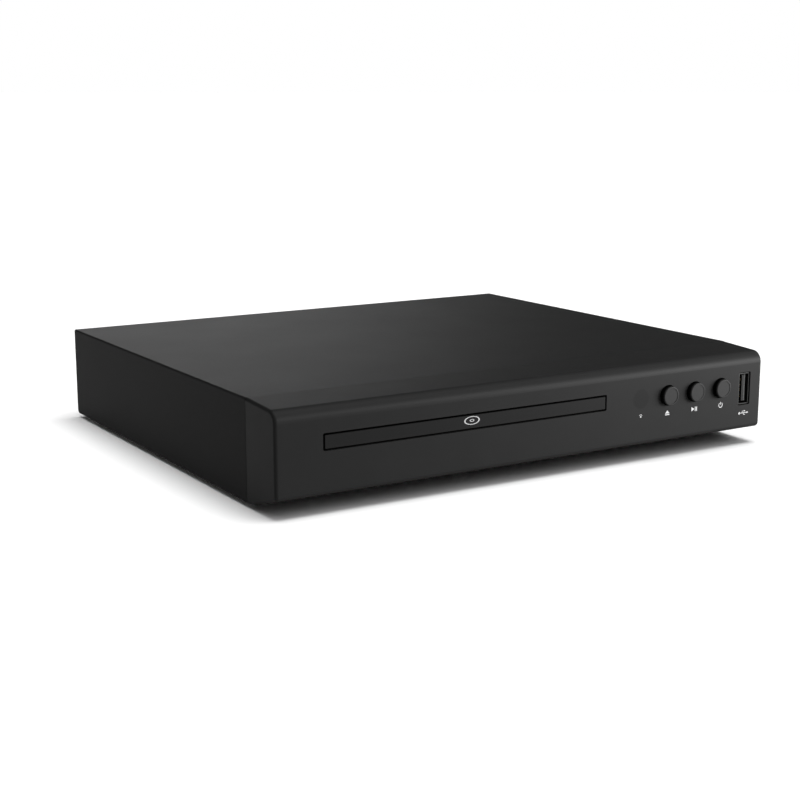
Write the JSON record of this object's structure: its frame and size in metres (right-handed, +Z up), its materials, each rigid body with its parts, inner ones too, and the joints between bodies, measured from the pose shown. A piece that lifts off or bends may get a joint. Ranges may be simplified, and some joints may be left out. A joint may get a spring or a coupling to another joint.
{
  "type": "disc player with tray",
  "caption": "Low black disc player with a motorised tray, a sloping-browed fascia, push buttons, a front data socket and rear jacks.",
  "frame": {"origin": "bottom centre of the whole object's box, on the plane its feet stand on", "axes": "+X right seen from the front, +Y towards the back, +Z up"},
  "size_m": [0.23, 0.2112, 0.0405],
  "materials": {
    "cover_paint": "satin black powder coat",
    "chassis_steel": "zinc plated sheet",
    "fascia_plastic": "fine matte moulding",
    "button_plastic": "fine matte moulding",
    "window_plastic": "dark infrared window",
    "rubber": "matte",
    "screw_steel": "zinc plated",
    "black_screws": "black zinc",
    "loader_plastic": "moulded",
    "tray_plastic": "moulded",
    "gear_plastic": "acetal",
    "bright_metal": "plated",
    "cast_metal": "cast",
    "lens_glass": "coated",
    "board_green": "solder mask",
    "black_plastic": "moulded",
    "ribbon_white": "film",
    "capacitor_sleeve": "sleeve",
    "barrel_nickel": "nickel plated",
    "insert_white": "moulded",
    "insert_red": "moulded",
    "insert_yellow": "moulded"
  },
  "bodies": {
    "player": {"top_cover": "cover_paint", "base_chassis": "chassis_steel", "front_fascia": "fascia_plastic", "rubber_feet": "rubber", "cover_screws": "black_screws", "ir_window": "window_plastic", "ir_receiver": "black_plastic", "tact_switches": "black_plastic", "key_board": "board_green", "key_board_screws": "screw_steel", "usb_shell": "bright_metal", "usb_tongue": "black_plastic", "key_ribbon": "ribbon_white", "loader_frame": "loader_plastic", "loader_screws": "screw_steel", "clamp_bridge": "chassis_steel", "bridge_screws": "screw_steel", "loader_motor": "bright_metal", "drive_belt": "rubber", "damper_bushes": "rubber", "main_board": "board_green", "power_board": "board_green", "board_screws": "screw_steel", "main_chips": "black_plastic", "main_heat_sink": "cast_metal", "board_capacitors": "capacitor_sleeve", "transformer": "black_plastic", "bulk_capacitor": "capacitor_sleeve", "power_heat_sink": "cast_metal", "rca_block": "black_plastic", "rca_barrels": "barrel_nickel", "rca_insert_left": "insert_white", "rca_insert_right": "insert_red", "rca_insert_video": "insert_yellow", "hdmi_shell": "bright_metal", "hdmi_tongue": "black_plastic", "mains_inlet": "black_plastic", "inlet_pins": "bright_metal"},
    "tray": {"disc_tray": "tray_plastic", "tray_door": "fascia_plastic"},
    "drive_gear": {"drive_gear": "gear_plastic"},
    "pulley_gear": {"pulley_gear": "gear_plastic"},
    "motor_pulley": {"motor_pulley": "gear_plastic"},
    "cam_slider": {"cam_slider": "gear_plastic"},
    "traverse": {"traverse_frame": "loader_plastic", "spindle_motor": "bright_metal", "guide_rods": "bright_metal", "feed_motor": "bright_metal"},
    "turntable": {"turntable": "gear_plastic", "disc_pad": "rubber"},
    "pickup": {"pickup_sled": "cast_metal", "lens_guard": "loader_plastic", "objective_lens": "lens_glass"},
    "feed_gear": {"feed_gear": "gear_plastic"},
    "feed_pinion": {"feed_pinion": "gear_plastic"},
    "clamper": {"clamper": "gear_plastic", "clamp_plate": "bright_metal"},
    "eject_button": {"eject_button": "button_plastic"},
    "play_button": {"play_button": "button_plastic"},
    "power_button": {"power_button": "button_plastic"}
  },
  "joints": [
    {"name": "tray_slide", "type": "slide", "parent": "player", "child": "tray", "axis": [0, -1, 0], "range_m": [0, 0.132]},
    {"name": "drive_gear_turn", "type": "hinge", "parent": "player", "child": "drive_gear", "pos_m": [0.0077, -0.0828, 0], "axis": [0, 0, 1], "range_deg": [-756.8, 0]},
    {"name": "pulley_gear_turn", "type": "hinge", "parent": "player", "child": "pulley_gear", "pos_m": [-0.0115, -0.0828, 0], "axis": [0, 0, 1], "range_deg": [0, 2269.41]},
    {"name": "motor_pulley_turn", "type": "hinge", "parent": "player", "child": "motor_pulley", "pos_m": [-0.0563, -0.0734, 0], "axis": [0, 0, 1], "range_deg": [0, 9000.52]},
    {"name": "traverse_tilt", "type": "hinge", "parent": "player", "child": "traverse", "pos_m": [-0.0323, 0.05165, 0.0172], "axis": [1, 0, 0], "range_deg": [0, 3.8]},
    {"name": "cam_slide", "type": "slide", "parent": "player", "child": "cam_slider", "axis": [1, 0, 0], "range_m": [0, 0.01601]},
    {"name": "turntable_spin", "type": "hinge", "parent": "traverse", "child": "turntable", "pos_m": [-0.0323, -0.03435, 0.0274], "axis": [0, 0, 1], "continuous": true},
    {"name": "clamper_spin", "type": "hinge", "parent": "player", "child": "clamper", "pos_m": [-0.0323, -0.03435, 0.0345], "axis": [0, 0, 1], "continuous": true},
    {"name": "pickup_feed", "type": "slide", "parent": "traverse", "child": "pickup", "axis": [0, 1, 0], "range_m": [0, 0.036]},
    {"name": "feed_gear_turn", "type": "hinge", "parent": "traverse", "child": "feed_gear", "pos_m": [0.00136, 0.01165, 0], "axis": [0, 0, 1], "range_deg": [-430.22, 0]},
    {"name": "feed_pinion_turn", "type": "hinge", "parent": "traverse", "child": "feed_pinion", "pos_m": [0.011, 0.00016, 0], "axis": [0, 0, 1], "range_deg": [0, 1719.37]},
    {"name": "eject_press", "type": "slide", "parent": "player", "child": "eject_button", "axis": [0, 1, 0], "range_m": [0, 0.0005], "stiffness_N_per_m": 800, "springref_m": -0.0004},
    {"name": "play_press", "type": "slide", "parent": "player", "child": "play_button", "axis": [0, 1, 0], "range_m": [0, 0.0005], "stiffness_N_per_m": 800, "springref_m": -0.0004},
    {"name": "power_press", "type": "slide", "parent": "player", "child": "power_button", "axis": [0, 1, 0], "range_m": [0, 0.0005], "stiffness_N_per_m": 800, "springref_m": -0.0004}
  ],
  "couplings": [
    {"joint": "drive_gear_turn", "follows": "tray_slide", "rad_per_m": -100},
    {"joint": "pulley_gear_turn", "follows": "tray_slide", "rad_per_m": 300},
    {"joint": "motor_pulley_turn", "follows": "tray_slide", "rad_per_m": 1190},
    {"joint": "cam_slide", "follows": "traverse_tilt", "m_per_rad": 0.24125},
    {"joint": "clamper_spin", "follows": "turntable_spin", "ratio": 1},
    {"joint": "feed_gear_turn", "follows": "pickup_feed", "rad_per_m": -208.33},
    {"joint": "feed_pinion_turn", "follows": "pickup_feed", "rad_per_m": 833.33}
  ]
}
